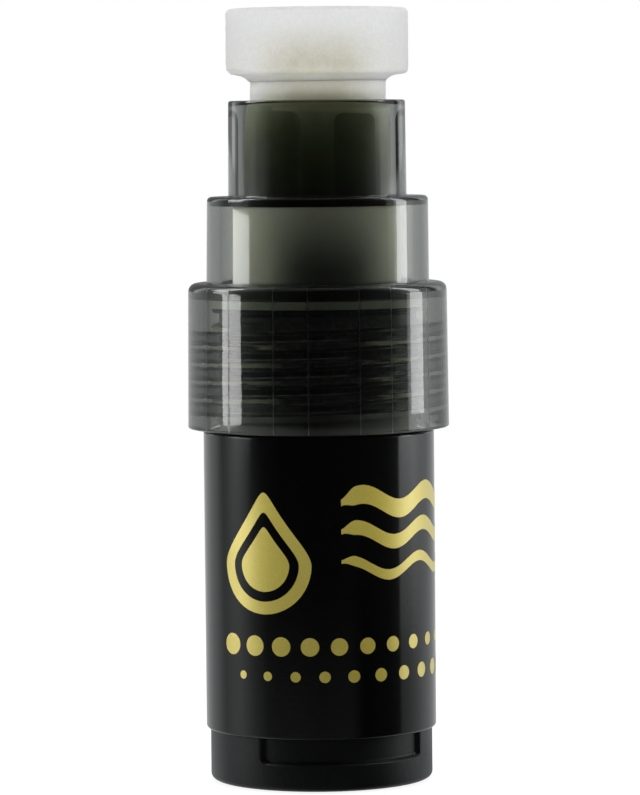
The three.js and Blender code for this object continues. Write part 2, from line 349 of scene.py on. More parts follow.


# The nib tube's bore is tinted darker low down and in a band at the rim, partly ink film and partly painted
# shade where less light reaches; the ribs are darker still, painted shade where they press on the felt.
def tintBore(tree, look, reach):
    low = invert(tree, heightRamp(tree, *look["boreTintHeights"]))
    boreTintMask = calc(tree, "MAXIMUM", low, heightRamp(tree, *look["rimHeights"]))
    inBore = calc(tree, "LESS_THAN", reach, (look["boreTintInside"] * mm) ** 2)
    onRib = calc(tree, "LESS_THAN", reach, (look["ribInside"] * mm) ** 2)
    colour = mixColour(tree, times(tree, boreTintMask, inBore), look["clear"], look["boreTint"])
    return mixColour(tree, times(tree, onRib, look["ribShadeShare"]), colour, look["ribShade"])


def makeSmokePlastic():
    look = smokePlasticLook
    material, tree, shader = startMaterial("smokePlastic", Roughness=look["roughness"], IOR=look["index"],
                                           Transmission_Weight=1.0, Metallic=0.0)
    absorption = addNode(tree, "ShaderNodeVolumeAbsorption")
    fill(absorption, Color=grey(look["passes"]), Density=look["absorbs"])
    fill(tree.nodes["Material Output"], Volume=absorption.outputs[0])
    x, y = splitPlace(tree)[:2]
    reach = reachSquared(tree, x, y)
    lines = mouldLines(tree, look, x, y, reach)
    ripple = objectNoise(tree, look["ripples"], 1.0, look["rippleStretch"])
    normal = bumpOn(tree, lines, *look["lineBump"], bumpOn(tree, ripple, *look["rippleBump"]))
    wear = useGroup(tree, handling, Hairlines=0.5, Smears=0.6)
    gloss = timesPlus(tree, wear.outputs["Wear"], look["wear"], look["roughness"])
    gloss = timesPlus(tree, lines, look["lineRoughness"], gloss)
    fill(shader, Base_Color=tintBore(tree, look, reach), Roughness=gloss, Normal=normal)
    return material


# Plain plastics, rubber and ink: the second colour is the speckle's, and wear adds to the roughness.
plasticLook = {
    "glossBlackPlastic": {
        "colours": ((0.0006, 0.0007, 0.0009), (0.0012, 0.0013, 0.0016)), "roughness": 0.085,
        "grain": (1800.0, 0.000004), "wear": 0.05, "extra": {"IOR": 1.5},
    },
    "satinBlackPlastic": {
        "colours": ((0.0025, 0.003, 0.004), (0.007, 0.0075, 0.009)), "roughness": 0.38,
        "grain": (5200.0, 0.00003), "wear": 0.08, "extra": {"IOR": 1.49, "Specular_IOR_Level": 0.36},
    },
    "naturalPlastic": {
        "colours": ((0.88, 0.89, 0.7), (0.91, 0.92, 0.76)), "roughness": 0.42,
        "grain": (2600.0, 0.00001), "wear": 0.1,
        "extra": {"IOR": 1.5, "Subsurface_Weight": 0.2, "Subsurface_Scale": 0.0006},
    },
    "dullNeckPlastic": {
        "colours": ((0.1, 0.105, 0.095), (0.17, 0.175, 0.155)), "roughness": 0.32,
        "grain": (2400.0, 0.00001), "wear": 0.08, "extra": {"IOR": 1.5},
    },
    "sealRubber": {
        "colours": ((0.05, 0.05, 0.048), (0.09, 0.09, 0.085)), "roughness": 0.7,
        "grain": (3600.0, 0.00002), "wear": 0.1, "extra": {"IOR": 1.5},
    },
    "goldInk": {
        "colours": ((0.8, 0.65, 0.05), (0.86, 0.72, 0.09)), "roughness": 0.42,
        "grain": (5200.0, 0.000006), "wear": 0.08,
        "extra": {"IOR": 1.45, "Metallic": 0.45, "Coat_Weight": 1.0, "Coat_IOR": 2.2, "Coat_Roughness": 0.36},
    },
}
plasticLook["sleevePlastic"] = plasticLook["naturalPlastic"]  # painted shade is added further down
grainBump = 0.5


def makePlastic(name):
    look = plasticLook[name]
    material, tree, shader = startMaterial(name, **look["extra"])
    scale, depth = look["grain"]
    grain = useGroup(tree, fineGrain, Grain_Scale=scale)
    wear = useGroup(tree, handling, Hairlines=1.0, Smears=1.0)
    gloss = timesPlus(tree, wear.outputs["Wear"], look["wear"], look["roughness"])
    fill(shader, Base_Color=mixColour(tree, grain.outputs["Speckle"], *look["colours"]), Roughness=gloss,
         Normal=bumpOn(tree, grain.outputs["Height"], grainBump, depth))
    return material


# A material's tree, its colour so far and the socket that takes the new one.
def paintOver(material):
    tree = material.node_tree
    socket = tree.nodes["Principled BSDF"].inputs["Base Color"]
    return tree, socket.links[0].from_socket, socket


# Painted shade on the valve's sleeve: dark at its foot under the collar, and lighter up its front, growing
# downwards, and on its flange.
sleeveShade = {
    "footBottom": (52.1, 52.2),
    "footTop": (53.6, 54.3),
    "footColour": (0.05, 0.055, 0.05),
    "footShare": 0.86,
    "direction": (12.0, -99.0),
    "front": (0.66, 0.91),
    "heights": (54.5, 63.5),
    "flangeOutside": 9.4,
    "flangeLess": -0.62,
    "colour": (0.07, 0.075, 0.055),
    "share": 0.9,
}


def shadeSleeve(material):
    look = sleeveShade
    tree, given, socket = paintOver(material)
    x, y = splitPlace(tree)[:2]
    foot = invert(tree, heightRamp(tree, *look["footTop"]))
    foot = times(tree, foot, heightRamp(tree, *look["footBottom"]))
    aside, ahead = look["direction"]
    forward = timesPlus(tree, x, aside, times(tree, y, ahead))
    front = fade(tree, forward, look["front"], smooth=True)
    shadeAmount = times(tree, front, invert(tree, heightRamp(tree, *look["heights"])))
    flange = calc(tree, "GREATER_THAN", reachSquared(tree, x, y), (look["flangeOutside"] * mm) ** 2)
    shadeAmount = times(tree, shadeAmount, timesPlus(tree, flange, look["flangeLess"], 1.0))
    colour = mixColour(tree, times(tree, shadeAmount, look["share"]), given, look["colour"])
    feed(socket, mixColour(tree, times(tree, foot, look["footShare"]), colour, look["footColour"]))


# Painted glints: pale streaks on the thread's crests, and painted light from the table below at the neck's
# foot.
threadLight = {
    "crest": 11.42,
    "streaks": 230.0,
    "streakStretch": (1, 1, 5),
    "streak": (0.42, 0.52),
    "streakAside": (0.35, 0.6),
    "glintColour": (0.8, 0.8, 0.55),
    "tableLightHeights": (39.8, 42.0),
    "tableLightAside": [(0.1, 0.25), (0.8, 1.0)],
    "tableLightColour": (0.62, 0.63, 0.56),
}


def paintThreadLight(material):
    look = threadLight
    tree, given, socket = paintOver(material)
    x, y = splitPlace(tree)[:2]
    crest = calc(tree, "GREATER_THAN", reachSquared(tree, x, y), (look["crest"] * mm) ** 2)
    streaks = fade(tree, objectNoise(tree, look["streaks"], 2.0, look["streakStretch"]), look["streak"])
    across = sideways(tree, x)
    glints = times(tree, times(tree, crest, streaks), fade(tree, across, look["streakAside"]))
    colour = mixColour(tree, glints, given, look["glintColour"])
    tableLight = invert(tree, heightRamp(tree, *look["tableLightHeights"]))
    tableLight = times(tree, tableLight, ramp(tree, across, look["tableLightAside"]))
    feed(socket, mixColour(tree, tableLight, colour, look["tableLightColour"]))


# Darkens a colour by the painted shade at the front of the tip, and gives it to the shader.
def shadeTipFront(tree, shader, colour, tint):
    tipShadeMask = useGroup(tree, tipFrontShade, Strength=1.0)
    frontShade = mixColour(tree, 1.0, colour, tint, blend="MULTIPLY")
    fill(shader, Base_Color=mixColour(tree, tipShadeMask.outputs["Mask"], colour, frontShade))


feltLook = {
    "shader": {"Roughness": 0.95, "Subsurface_Weight": 0.8, "Subsurface_Scale": 0.003,
               "Subsurface_Radius": (1.0, 1.0, 0.8), "Sheen_Weight": 0.1},
    "fibres": 3200.0,
    "colours": ((0.96, 0.955, 0.92), (0.98, 0.975, 0.945)),
    "patches": 420.0,
    "patchGain": 0.06,
    "patchBase": -0.03,
    "inkAndShadeHeights": (60.0, 75.0),
    # Nearly black at the foot of the nib tube, olive further up, and gone at its rim: partly ink in the felt,
    # partly painted shade where less light reaches down the tube.
    "inkAndShade": [(0.0, (0.09, 0.094, 0.068)), (0.13, (0.13, 0.138, 0.1)), (0.34, (0.28, 0.305, 0.215)),
              (0.6, (0.5, 0.535, 0.38)), (0.76, (0.76, 0.8, 0.6)), (0.87, (0.9, 0.91, 0.82)),
              (0.92, (1.0, 1.0, 1.0))],
    # the colour of the painted shade at the front of the core
    "frontShade": (0.72, 0.71, 0.6),
    "bump": (0.25, 0.00008),
}


def makeFelt():
    look = feltLook
    material, tree, shader = startMaterial("inkAndShadeFelt", **look["shader"])
    strands = useGroup(tree, fibres, Fibre_Scale=look["fibres"])
    clean = mixColour(tree, strands.outputs["Strand"], *look["colours"])
    rise = calc(tree, "ADD", heightRamp(tree, *look["inkAndShadeHeights"], "LINEAR"), patchy(tree, look, 3.0))
    colour = mixColour(tree, 1.0, clean, ramp(tree, rise, look["inkAndShade"]), blend="MULTIPLY")
    shadeTipFront(tree, shader, colour, look["frontShade"])
    fill(shader, Normal=bumpOn(tree, strands.outputs["Height"], *look["bump"]))
    return material


foamLook = {
    "shader": {"Roughness": 0.95, "Subsurface_Weight": 1.0, "Subsurface_Scale": 0.0024,
               "Subsurface_Radius": (1.0, 0.97, 0.92), "Sheen_Weight": 0.1},
    "cells": 3000.0,
    "wall": (0.1, 0.75),
    "fine": 6500.0,
    "fineGain": 0.5,
    "white": ((0.92, 0.918, 0.905), (0.965, 0.963, 0.955)),
    # lowShade: the lower foam painted darker and yellower, painted shade where less light reaches and the
    # core shows through
    "lowShade": ((0.88, 0.873, 0.83), (0.935, 0.93, 0.89)),
    "heights": (77.0, 82.0),
    "patches": 350.0,
    "patchGain": 0.8,
    "patchBase": -0.4,
    # the colour of the painted shade at the front of the tip
    "frontShade": (0.75, 0.735, 0.65),
    "bump": (0.3, 0.00008),
}


def makeFoam():
    look = foamLook
    material, tree, shader = startMaterial("whiteFoam", **look["shader"])
    place = addNode(tree, "ShaderNodeTexCoord").outputs["Object"]
    cells = addNode(tree, "ShaderNodeTexVoronoi", feature="F1")
    fill(cells, Scale=look["cells"], Randomness=1.0, Vector=place)
    wall = fade(tree, cells.outputs["Distance"], look["wall"])
    height = timesPlus(tree, objectNoise(tree, look["fine"], 2.0), look["fineGain"], wall)
    white = mixColour(tree, wall, *look["white"])
    # painted shade towards the bottom of the foam
    lowShade = mixColour(tree, wall, *look["lowShade"])
    rise = calc(tree, "ADD", heightRamp(tree, *look["heights"]), patchy(tree, look, 4.0))
    shadeTipFront(tree, shader, mixColour(tree, fade(tree, rise, (0.0, 1.0)), lowShade, white), look["frontShade"])
    fill(shader, Normal=bumpOn(tree, height, *look["bump"]))
    return material


steelLook = {
    "grain": 2500.0,
    "grainStretch": (1, 1, 0.15),
    "spots": 500.0,
    "spot": (0.55, 0.75),
    "colours": ((0.62, 0.62, 0.64), (0.5, 0.49, 0.47)),
    "roughGain": 0.16,
    "roughness": 0.12,
    "bump": (0.15, 0.00003),
}


def makeSteel():
    look = steelLook
    material, tree, shader = startMaterial("brightSteel", Metallic=1.0, Anisotropic=0.3)
    grain = objectNoise(tree, look["grain"], 3.0, look["grainStretch"])
    spots = fade(tree, objectNoise(tree, look["spots"], 4.0), look["spot"])
    gloss = timesPlus(tree, grain, look["roughGain"], look["roughness"])
    fill(shader, Base_Color=mixColour(tree, spots, *look["colours"]), Roughness=gloss,
         Normal=bumpOn(tree, grain, *look["bump"]))
    return material


smokePlastic = makeSmokePlastic()
glossBlack = makePlastic("glossBlackPlastic")
satinBlack = makePlastic("satinBlackPlastic")
naturalPlastic = makePlastic("naturalPlastic")
sleevePlastic = makePlastic("sleevePlastic")
shadeSleeve(sleevePlastic)
dullNeck = makePlastic("dullNeckPlastic")
paintThreadLight(dullNeck)
sealRubber = makePlastic("sealRubber")
goldInk = makePlastic("goldInk")
felt = makeFelt()
foam = makeFoam()
steel = makeSteel()
print("materials made")


# Turned pieces. A corner is (radius, height, rounding, cuts in the side that leaves it), in millimetres.
roundingSteps = 5
weldWithin = 0.0005
onWall = 0.01  # how near a vertex has to be to a wall to count as part of it


def turnedShape(corners, steps):
    shape = bmesh.new()
    points = [shape.verts.new((corner[0] * mm, 0, corner[1] * mm)) for corner in corners]
    onAxis = corners[0][0] == 0 and corners[-1][0] == 0
    ends = points[1:] if onAxis else points[1:] + points[:1]
    sides = [shape.edges.new(pair) for pair in zip(points, ends)]
    for side, corner in zip(sides, corners):
        if len(corner) > 3:
            bmesh.ops.subdivide_edges(shape, edges=[side], cuts=corner[3])
    for radius, height, *rounding in corners:
        if rounding and rounding[0]:
            place = Vector((radius, 0, height)) * mm
            point = min(shape.verts, key=lambda vertex: (vertex.co - place).length)
            bmesh.ops.bevel(shape, geom=[point], offset=rounding[0] * mm, offset_type="OFFSET",
                            segments=roundingSteps, profile=0.5, affect="VERTICES", clamp_overlap=False,
                            material=-1)
    bmesh.ops.spin(shape, geom=shape.verts[:] + shape.edges[:], cent=(0, 0, 0), axis=(0, 0, 1),
                   angle=fullTurn, steps=steps, use_merge=True)
    bmesh.ops.remove_doubles(shape, verts=shape.verts[:], dist=weldWithin * mm)
    bmesh.ops.recalc_face_normals(shape, faces=shape.faces[:])
    return shape


def finishPiece(shape, name, body, material, nodes=(), sharp=35, weighted=True):
    mesh = bpy.data.meshes.new(name)
    shape.to_mesh(mesh)
    shape.free()
    for polygon in mesh.polygons:
        polygon.use_smooth = True
    mesh.set_sharp_from_angle(angle=math.radians(sharp))
    mesh.materials.append(material)
    piece = bpy.data.objects.new(name, mesh)
    scene.collection.objects.link(piece)
    if weighted:
        modifier = piece.modifiers.new("weightedNormals", "WEIGHTED_NORMAL")
        modifier.keep_sharp = True
    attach(piece, body)
    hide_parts(*nodes)
    return piece


def turnOf(spot):
    return math.atan2(spot.x, -spot.y)  # from the front, positive towards +X


def setRadius(vertex, radius):
    ratio = radius * mm / math.hypot(vertex.co.x, vertex.co.y)
    vertex.co.x *= ratio
    vertex.co.y *= ratio


def radiusOf(vertex):
    return math.hypot(vertex.co.x, vertex.co.y) / mm


def step01(value):
    value = min(1.0, max(0.0, value))
    return value * value * (3 - 2 * value)


# Leans a shape aside, towards +X: not at all below the height low, fully from the height high up.
def leanAside(shape, low, high, amount):
    for vertex in shape.verts:
        vertex.co.x += amount * mm * step01((vertex.co.z / mm - low) / (high - low))


thread = {"pitch": 1.9, "crest": 0.45, "root": 1.1, "bottom": 39.2, "top": 49.6, "fade": 0.3, "soft": 1.35}


# Raises a helical ridge from every vertex that lies on the wall.
def cutThread(shape, wall, crest, phase):
    for vertex in shape.verts:
        height = vertex.co.z / mm
        if abs(radiusOf(vertex) - wall) > onWall or not thread["bottom"] - 1 < height < thread["top"] + 1:
            continue
        turns = (height - phase) / thread["pitch"] - turnOf(vertex.co) / fullTurn
        away = abs(turns - round(turns)) * thread["pitch"]
        middle = height - (turns - round(turns)) * thread["pitch"]
        flank = (thread["root"] - thread["crest"]) / 2 * thread["soft"]
        rise = step01((thread["root"] / 2 * thread["soft"] - away) / flank)
        ends = min(middle - thread["bottom"], thread["top"] - middle) / (thread["fade"] * thread["pitch"])
        setRadius(vertex, wall + (crest - wall) * rise * step01(ends))


barrelShape = {
    "outline": [(11.2, 5.6), (12.5, 5.6, 0.35), (12.5, 38.0, 0.35), (10.7, 38.0, 0.15), (10.7, 38.5, 0, 180),
                (10.7, 50.3), (10.7, 50.8, 0.4), (9.5, 50.8), (9.5, 38.0), (11.2, 36.1)],
    "steps": 216,
    "wall": 10.7,
    "threadPhase": 38.0,
    "crest": 11.5,
    "dullAbove": 38.05,  # the thread isn't polished, and carries painted glints and painted light
}


def makeBarrel():
    look = barrelShape
    shape = turnedShape(look["outline"], look["steps"])
    cutThread(shape, look["wall"], look["crest"], look["threadPhase"])
    piece = finishPiece(shape, "blackBarrel", "bottle", glossBlack, ["barrel"])
    piece.data.materials.append(dullNeck)
    for polygon in piece.data.polygons:
        if polygon.center.z > look["dullAbove"] * mm:
            polygon.material_index = 1


makeBarrel()
print("barrel made")

plugShape = {
    "outline": [(0, 0.6), (8.9, 0.6, 0.2), (9.55, 0.0, 0.2), (12.05, 0.0, 0.65), (12.05, 2.8, 0, 11),
                (12.05, 3.9), (12.05, 5.56), (11.4, 5.58), (11.1, 5.59), (11.1, 12.1, 0.4), (9.8, 12.1),
                (9.8, 1.6), (0, 1.6)],
    "steps": 420,
    "sharp": 28,
    "rimInside": 11.99,
    "rimLow": 1.0,
    "recesses": 2,
    "recessMiddle": 14.5,
    "recessWidth": 93.0,
    "recessFoot": 3.0,
    "recessDepth": 0.5,
    "recessCorner": 0.5,
    "recessSoft": 0.22,
}


# How far inside a patch with rounded corners a place lies: 0 outside, 1 inside, soft at the border.
# across and beyond are the distances past the patch's side and past its end, less than 0 inside it.
def patchShare(across, beyond, corner, soft):
    across, beyond = across + corner, beyond + corner
    outside = math.hypot(max(across, 0), max(beyond, 0)) + min(max(across, beyond), 0) - corner
    return step01(0.5 - outside / (2 * soft))


def makePlug():
    look = plugShape
    shape = turnedShape(look["outline"], look["steps"])
    spacing = fullTurn / look["recesses"]
    for vertex in shape.verts:
        radius = radiusOf(vertex)
        height = vertex.co.z / mm
        if radius < look["rimInside"] or height < look["rimLow"]:
            continue
        turn = turnOf(vertex.co) - math.radians(look["recessMiddle"])
        aside = abs(turn - round(turn / spacing) * spacing) - math.radians(look["recessWidth"] / 2)
        beyond = look["recessFoot"] - height
        share = patchShare(aside * radius, beyond, look["recessCorner"], look["recessSoft"])
        setRadius(vertex, radius - look["recessDepth"] * share)
    finishPiece(shape, "blackBasePlug", "bottle", satinBlack, ["base_plug"],
                sharp=look["sharp"])


makePlug()
print("base plug made")

headShape = {
    "outline": [(11.8, 38.2, 0.2), (14.15, 38.2, 0.2), (13.993, 53.9, 0.9), (12.05, 53.9, 0.12),
                (11.957, 63.2, 0.5), (9.65, 63.2, 0.12), (9.547, 73.5, 0.22), (8.0, 73.5, 0.6),
                (8.0, 72.8, 0, 84), (8.0, 62.4), (8.0, 62.2), (10.4, 62.2), (10.4, 52.3, 0),
                (11.8, 52.3, 0.1), (11.8, 50.4, 0, 180), (11.8, 38.8)],
    "steps": 240,
    "wall": 11.8,
    "bore": 8.0,
    "boreLow": 61.8,
    "threadPhase": 38.95,
    "crest": 11.0,
    "ribs": 6,
    "firstRib": 30.0,
    "lean": (53.0, 55.0, 0.09),  # looseness in the thread
    "ribWidth": 4.8,
    "ribTop": 72.1,
    "ribCorner": 1.0,
    "ribFace": 7.84,
    "ribSoft": 0.38,
}


# Pushes the ribs inwards from the nib tube's bore: bars with rounded tops.
def raiseRibs(shape, look):
    spacing = fullTurn / look["ribs"]
    for vertex in shape.verts:
        height = vertex.co.z / mm
        radius = radiusOf(vertex)
        if abs(radius - look["bore"]) > onWall or height < look["boreLow"]:
            continue
        turn = turnOf(vertex.co) - math.radians(look["firstRib"])
        aside = abs(turn - round(turn / spacing) * spacing) * radius - look["ribWidth"] / 2
        share = patchShare(aside, height - look["ribTop"], look["ribCorner"], look["ribSoft"])
        setRadius(vertex, look["bore"] + (look["ribFace"] - look["bore"]) * share)


def makeHead():
    look = headShape
    shape = turnedShape(look["outline"], look["steps"])
    cutThread(shape, look["wall"], look["crest"], look["threadPhase"])
    raiseRibs(shape, look)
    leanAside(shape, *look["lean"])
    finishPiece(shape, "smokeHead", "head", smokePlastic, ["head_shell"])


makeHead()
print("head made")

valveShape = {
    "housing": [(2.6, 40.2), (9.2, 40.2, 0.5), (9.2, 51.3), (11.5, 51.3), (11.5, 52.25, 0.1),
                (9.1, 52.25, 0.1), (9.1, 62.1, 0.2), (8.2, 62.1, 0.1), (8.2, 41.4, 0.5), (2.6, 41.4)],
    "gasket": [(9.6, 50.82), (11.4, 50.82, 0.1), (11.4, 51.28, 0.1), (9.6, 51.28)],
    "stem": [(0, 38.2), (3.7, 38.2, 0.4), (3.7, 39.4), (1.5, 39.4, 0.2), (1.5, 52.6), (0, 52.6)],
    "seal": [(1.6, 39.42), (3.6, 39.42, 0.15), (3.6, 40.18, 0.15), (1.6, 40.18)],
    "steps": 144,
    "stemSteps": 64,
}


def makeValve():
    look = valveShape
    steps, stemSteps = look["steps"], look["stemSteps"]
    finishPiece(turnedShape(look["housing"], steps), "valveHousing", "valve_unit", sleevePlastic,
                ["valve_body"])
    finishPiece(turnedShape(look["gasket"], steps), "neckSeal", "valve_unit", sealRubber,
                ["neck_gasket"])
    finishPiece(turnedShape(look["stem"], stemSteps), "valveStem", "plunger", naturalPlastic,
                ["valve_stem"])
    finishPiece(turnedShape(look["seal"], stemSteps), "stemSeal", "plunger", sealRubber,
                ["stem_seal"])


makeValve()
print("valve made")

ballShape = {"radius": 3.0, "aside": 4.0, "height": 4.65, "segments": 64}


def makeBalls():
    look = ballShape
    for number, side in ((1, -1), (2, 1)):
        shape = bmesh.new()
        bmesh.ops.create_uvsphere(shape, u_segments=look["segments"], v_segments=look["segments"] // 2,
                                  radius=look["radius"] * mm)
        offset = Vector((side * look["aside"], 0, look["height"])) * mm
        bmesh.ops.translate(shape, verts=shape.verts[:], vec=offset)
        finishPiece(shape, f"steelBall{number}", f"ball_{number}", steel, [f"mixing_ball_{number}"],
                    weighted=False)


makeBalls()
print("balls made")

springShape = {
    "low": 41.48,
    "high": 52.52,
    "radius": 3.05,
    "wire": 0.3,
    "wireSegments": 12,
    "steps": 32,
    "endPitch": 1.05,  # the first and the last turn lie closer together
    "turns": 7,
    "travel": 2.0,
}


# The wire's round section is wound up in three runs: the first turn, the middle ones and the last.
def makeSpring():
    look = springShape
    shape = bmesh.new()
    tall = look["high"] - look["low"] - 2 * look["wire"]
    middlePitch = (tall - 2 * look["endPitch"]) / (look["turns"] - 2)
    place = Matrix.Translation(Vector((look["radius"], 0, look["low"] + look["wire"])) * mm)
    turned = Matrix.Rotation(math.radians(90), 4, "X")
    section = bmesh.ops.create_circle(shape, segments=look["wireSegments"], radius=look["wire"] * mm,
                                      matrix=place @ turned)
    ring = section["verts"] + list({edge for vertex in section["verts"] for edge in vertex.link_edges})
    for turns, pitch in ((1, look["endPitch"]), (look["turns"] - 2, middlePitch), (1, look["endPitch"])):
        made = bmesh.ops.spin(shape, geom=ring, cent=(0, 0, 0), axis=(0, 0, 1), angle=turns * fullTurn,
                              dvec=(0, 0, pitch / look["steps"] * mm), steps=turns * look["steps"])
        ring = made["geom_last"]
    bmesh.ops.holes_fill(shape, edges=[edge for edge in shape.edges if edge.is_boundary], sides=0)
    bmesh.ops.recalc_face_normals(shape, faces=shape.faces[:])
    spring = finishPiece(shape, "closingSpring", "valve_unit", steel, ["valve_spring"],
                         weighted=False)
    tall = look["high"] - look["low"]
    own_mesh(spring)


makeSpring()
print("spring made")

# The push plate keeps its CAD shape.
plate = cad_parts["push_plate"]
plate.data.materials.clear()
plate.data.materials.append(naturalPlastic)
print("plate finished")

nibShape = {
    "core": [(0, 53.6), (7.3, 53.6), (7.45, 53.75), (7.45, 62.3), (7.76, 62.8, 0, 60), (7.76, 72.3, 0, 6),
             (7.36, 73.5, 0, 20), (7.36, 80.7), (7.2, 80.84), (0, 80.84)],
    "coreSteps": 160,
    "coreInside": 7.0,
    "coreUneven": 0.04,
    "coreWaves": 1.3,
    "cover": [(0, 80.86, 0, 10), (7.6, 80.86), (7.0, 75.5), (7.32, 75.5), (8.0, 76.15, 0.5),
              (9.88, 76.38, 0.5), (9.88, 77.4, 0, 16), (9.88, 82.2), (9.88, 83.4, 0.55),
              (9.0, 83.4, 0, 26), (0, 83.4)],
    "steps": 200,
    "outerPart": 7.7,
    "lowerPart": 79.0,
    "upperPart": 81.5,
    "sideFrom": 9.2,
    "topFrom": 83.0,
    "rough": 0.05,  # how deep the noise bites into the foam
    "roughBase": 0.9,
    "coarseWaves": 1.9,
    "fineWaves": 4.3,
    "fineShare": 0.6,
    "fineShift": (7, 3, 1),
    "corner": (9.88, 76.32),  # the foam's lower corner is trimmed on one side
    "cutCorner": 0.6,
    "cutTurn": -80.0,
    "cutSpread": 50.0,
    "cutFull": 1.3,
    "coreLean": (66.0, 76.0, 0.27),
    "coverLean": (60.0, 62.0, 0.19),
}


def makeCore():
    look = nibShape
    shape = turnedShape(look["core"], look["coreSteps"])
    for vertex in shape.verts:
        if radiusOf(vertex) > look["coreInside"]:
            share = 0.5 + 0.5 * noise.noise(vertex.co / mm * look["coreWaves"])
            setRadius(vertex, radiusOf(vertex) - look["coreUneven"] * share)
    leanAside(shape, *look["coreLean"])
    finishPiece(shape, "feltCore", "nib", felt, ["nib_core"], weighted=False)


def makeCover():
    look = nibShape
    shape = turnedShape(look["cover"], look["steps"])
    for vertex in shape.verts:
        radius = radiusOf(vertex)
        height = vertex.co.z / mm
        if radius > look["outerPart"] and height < look["lowerPart"]:
            turn = math.degrees(turnOf(vertex.co)) - look["cutTurn"]
            turn = (turn + 180) % 360 - 180
            bite = look["cutCorner"] * step01(look["cutFull"] - abs(turn) / look["cutSpread"])
            depth = bite - (height - look["corner"][1]) - (look["corner"][0] - radius)
            if depth > 0:
                setRadius(vertex, radius - depth / 2)
                vertex.co.z += depth / 2 * mm
        if radius > look["outerPart"] or height > look["upperPart"]:
            grain = noise.noise(vertex.co / mm * look["coarseWaves"])
            shifted = vertex.co / mm * look["fineWaves"] + Vector(look["fineShift"])
            grain += look["fineShare"] * noise.noise(shifted)
            bite = look["rough"] * (look["roughBase"] + grain)
            if radius > look["sideFrom"]:
                setRadius(vertex, radiusOf(vertex) - bite)
            if height > look["topFrom"]:
                vertex.co.z -= bite * mm / 2
    leanAside(shape, *look["coverLean"])
    piece = finishPiece(shape, "foamTip", "nib", foam, ["nib_cover"], weighted=False)


makeCore()
makeCover()
print("tip made")

# The print is a layer of gold ink: a drop in a drop-shaped ring, three wavy stripes and two rows of dots.
# Places are (millimetres round the barrel from the front, height).
printShape = {
    "barrelRadius": 12.5,
    "thickness": 0.02,
    "sunk": 0.006,
    "drop": {"centre": (-6.2, 24.3), "outer": 5.3, "ring": 1.35, "inner": 2.9, "point": 1.45,
             "ringPoint": 0.97, "innerPoint": 0.95, "narrower": 0.62, "power": 1.6},
    "waves": {"left": 2.3, "right": 33.0, "count": 3, "top": 30.9, "spacing": 3.5, "width": 2.0,
              "thinner": 0.45, "swing": 0.85, "length": 9.5, "shift": 0.5, "taper": 1.6, "segments": 150},
    "dots": {"left": -10.6, "right": 32.0, "rows": (15.6, 12.4), "spacing": 3.15, "largest": 1.15,
             "smallest": 0.45, "segments": 32},
    "cutFrom": -14.0,
    "cutTo": 36.0,
    "cutEvery": 0.4,
}


# Pulls the top of a round outline up into the point of a drop.
def pullDrop(verts, look, radius, pointShare=1.0):
    for vertex in verts:
        share = vertex.co.z / (radius * mm)
        if share > 0:
            vertex.co.x *= 1 - share ** look["power"] * look["narrower"]
            vertex.co.z *= 1 + (look["point"] * pointShare - 1) * share ** 2


def discAt(shape, radius, segments=72, filled=True):
    turned = Matrix.Rotation(math.radians(90), 4, "X")
    made = bmesh.ops.create_circle(shape, cap_ends=filled, segments=segments, radius=radius * mm,
                                   matrix=turned)
    return made["verts"]


def addDrop(shape, look):
    inside = look["outer"] - look["ring"]
    wide = discAt(shape, look["outer"], filled=False)
    narrow = discAt(shape, inside, filled=False)
    edges = list({edge for vertex in wide + narrow for edge in vertex.link_edges})
    bmesh.ops.bridge_loops(shape, edges=edges)
    pullDrop(wide, look, look["outer"])
    pullDrop(narrow, look, inside, look["ringPoint"])
    middle = discAt(shape, look["inner"])
    pullDrop(middle, look, look["inner"], look["innerPoint"])
    spot = Vector((look["centre"][0], 0, look["centre"][1])) * mm
    bmesh.ops.translate(shape, verts=wide + narrow + middle, vec=spot)


def addWaves(shape, look):
    middle = (look["left"] + look["right"]) / 2
    half = (look["right"] - look["left"]) / 2
    for number in range(look["count"]):
        made = bmesh.ops.create_grid(shape, x_segments=look["segments"], y_segments=1, size=1)["verts"]
        width = look["width"] - number * look["thinner"]
        for vertex in made:
            along = middle + vertex.co.x * half
            end = step01((along - look["left"]) / look["taper"])
            phase = fullTurn * (along - look["left"]) / look["length"] + number * look["shift"]
            level = look["top"] - number * look["spacing"] + look["swing"] * math.sin(phase)
            vertex.co = Vector((along, 0, level + vertex.co.y * width / 2 * (0.35 + 0.65 * end))) * mm


def addDots(shape, look):
    count = int((look["right"] - look["left"]) / look["spacing"]) + 1
    for row, level in enumerate(look["rows"]):
        for number in range(count):
            share = number / (count - 1)
            smaller = share if row == 0 else 1 - share
            size = look["largest"] + (look["smallest"] - look["largest"]) * smaller
            along = look["left"] + (number + 0.5 * row) * look["spacing"]
            made = discAt(shape, size, look["segments"])
            bmesh.ops.translate(shape, verts=made, vec=Vector((along, 0, level)) * mm)


